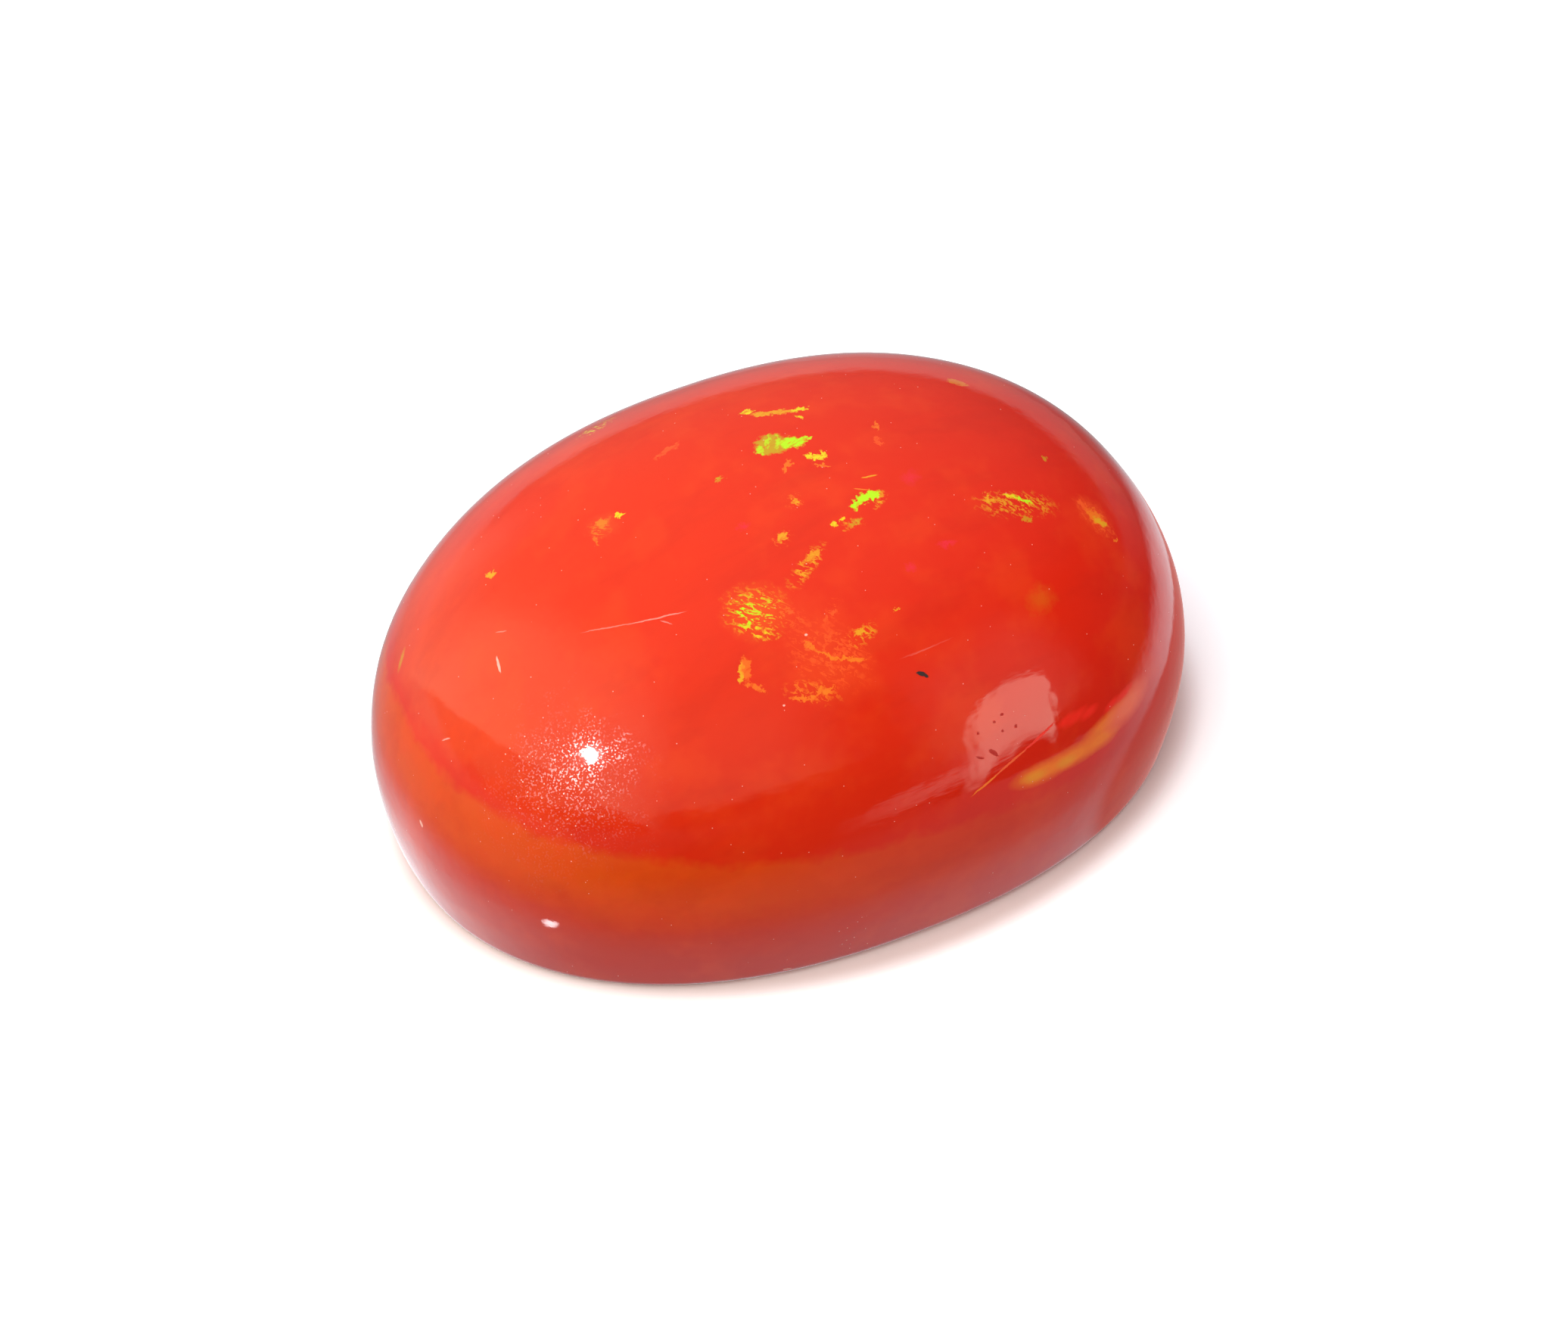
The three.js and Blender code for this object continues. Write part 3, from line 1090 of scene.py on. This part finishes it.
def make_world():
    """The pale studio round the stone: bright at the left and above and dimmer at the right, with a large
    soft light at the left front, a lit wall at the left back, and a window with a sill at the right
    front."""
    world = bpy.data.worlds.new("pale studio")
    bpy.context.scene.world = world
    world.use_nodes = True
    tree = world.node_tree
    tree.nodes.clear()
    output = add_node(tree, "ShaderNodeOutputWorld")
    direction, azimuth, elevation = studio_directions(tree)
    over_edge = arched(tree, azimuth, elevation, -55, 24 / 56**2)
    under_arch = arched(tree, azimuth, elevation, 65, 0.09)
    sill_edge = add_node(
        tree,
        "ShaderNodeMapRange",
        {"Value": azimuth, "From Min": 36, "From Max": 53, "To Min": -3, "To Max": 0},
    ).outputs[0]
    from_sill = calculate(tree, "SUBTRACT", elevation, sill_edge)

    # Each as its elevations, then its sides, its ends and the softness of its four edges, and its light
    colour = room_level(tree, direction, elevation)
    for height, sides, ends, softness, light in (
        (elevation, (-60, 48), (4, 66), (20, 26, 5, 30), WALL_LIGHT),
        (elevation, (-152, -108), (-10, 34), (16, 12, 8, 22), LEFT_WALL_LIGHT),
        (over_edge, (-124, 4), (17.5, 78), (20, 24, 3, 30), SOFTBOX_LIGHT),
        (elevation, (44, 88), (-16, 44), (12, 16, 8, 26), HALO_LIGHT),
        (from_sill, (34, 66), (-19, -10), (18, 6, 4, 3), SILL_LIGHT),
        (under_arch, (53, 74.5), (-17, 12), (4.5, 1.5, 8, 3.5), WINDOW_LIGHT),
    ):
        shown = soft_window(tree, azimuth, height, sides, ends, softness)
        colour = mix_colour(tree, shown, colour, light)
    background = add_node(tree, "ShaderNodeBackground", {"Color": colour, "Strength": 1.0})
    tree.links.new(background.outputs[0], output.inputs["Surface"])


def add_panel(name, azimuth, elevation, distance, size, radiance, roll=0):
    """A flat soft light that faces the stone, seen from it at an azimuth and elevation in degrees, and its
    distance and size in metres."""
    width, height = size
    data = bpy.data.lights.new(name, "AREA")
    data.shape = "RECTANGLE"
    data.size = width
    data.size_y = height
    data.energy = radiance * math.pi * width * height
    panel = bpy.data.objects.new(name, data)
    bpy.context.scene.collection.objects.link(panel)
    direction = view_direction(azimuth, elevation)
    turn = direction.to_track_quat("Z", "Y")
    panel.rotation_euler = (turn @ Matrix.Rotation(math.radians(roll), 3, "Z").to_quaternion()).to_euler()
    panel.location = direction * distance
    return panel


def make_lights():
    """A small lamp in front that only the polish shows, then a soft overhead key and two low fills, at the
    left and the right, that it doesn't mirror."""
    lamp = add_panel("front_lamp", -33, 30, 0.25, size=(0.030, 0.010), radiance=2200, roll=-24)
    lamp.data.shape = "ELLIPSE"
    lamp.visible_diffuse = False
    key = add_panel("overhead_key", -26, 64, 0.4, size=(0.5, 0.5), radiance=1.42)
    left_fill = add_panel("left_fill", -115, 10, 0.5, size=(0.3, 0.12), radiance=2.6)
    right_fill = add_panel("right_fill", 110, 10, 0.5, size=(0.3, 0.12), radiance=3.2)
    for panel in (key, left_fill, right_fill):
        panel.visible_glossy = False


def make_camera():
    """The camera, at the photograph's viewing angle."""
    data = bpy.data.cameras.new("camera")
    data.lens = CAMERA_LENS
    data.sensor_width = 36
    data.sensor_fit = "HORIZONTAL"
    data.clip_start = 0.001
    data.clip_end = 10
    camera = bpy.data.objects.new("camera", data)
    bpy.context.scene.collection.objects.link(camera)
    camera.location = view_direction(0, CAMERA_ELEVATION) * CAMERA_DISTANCE
    camera.rotation_euler = (camera.location - CAMERA_AIM).to_track_quat("Z", "Y").to_euler()
    bpy.context.scene.camera = camera


make_camera()
stone = make_stone()
polish_by_hand(stone)
stone.data.materials.append(opal_material())
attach(stone, "root")
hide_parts("opal_cabochon")
make_floor()
make_card()
make_world()
make_lights()
bpy.context.scene.view_settings.view_transform = "Standard"
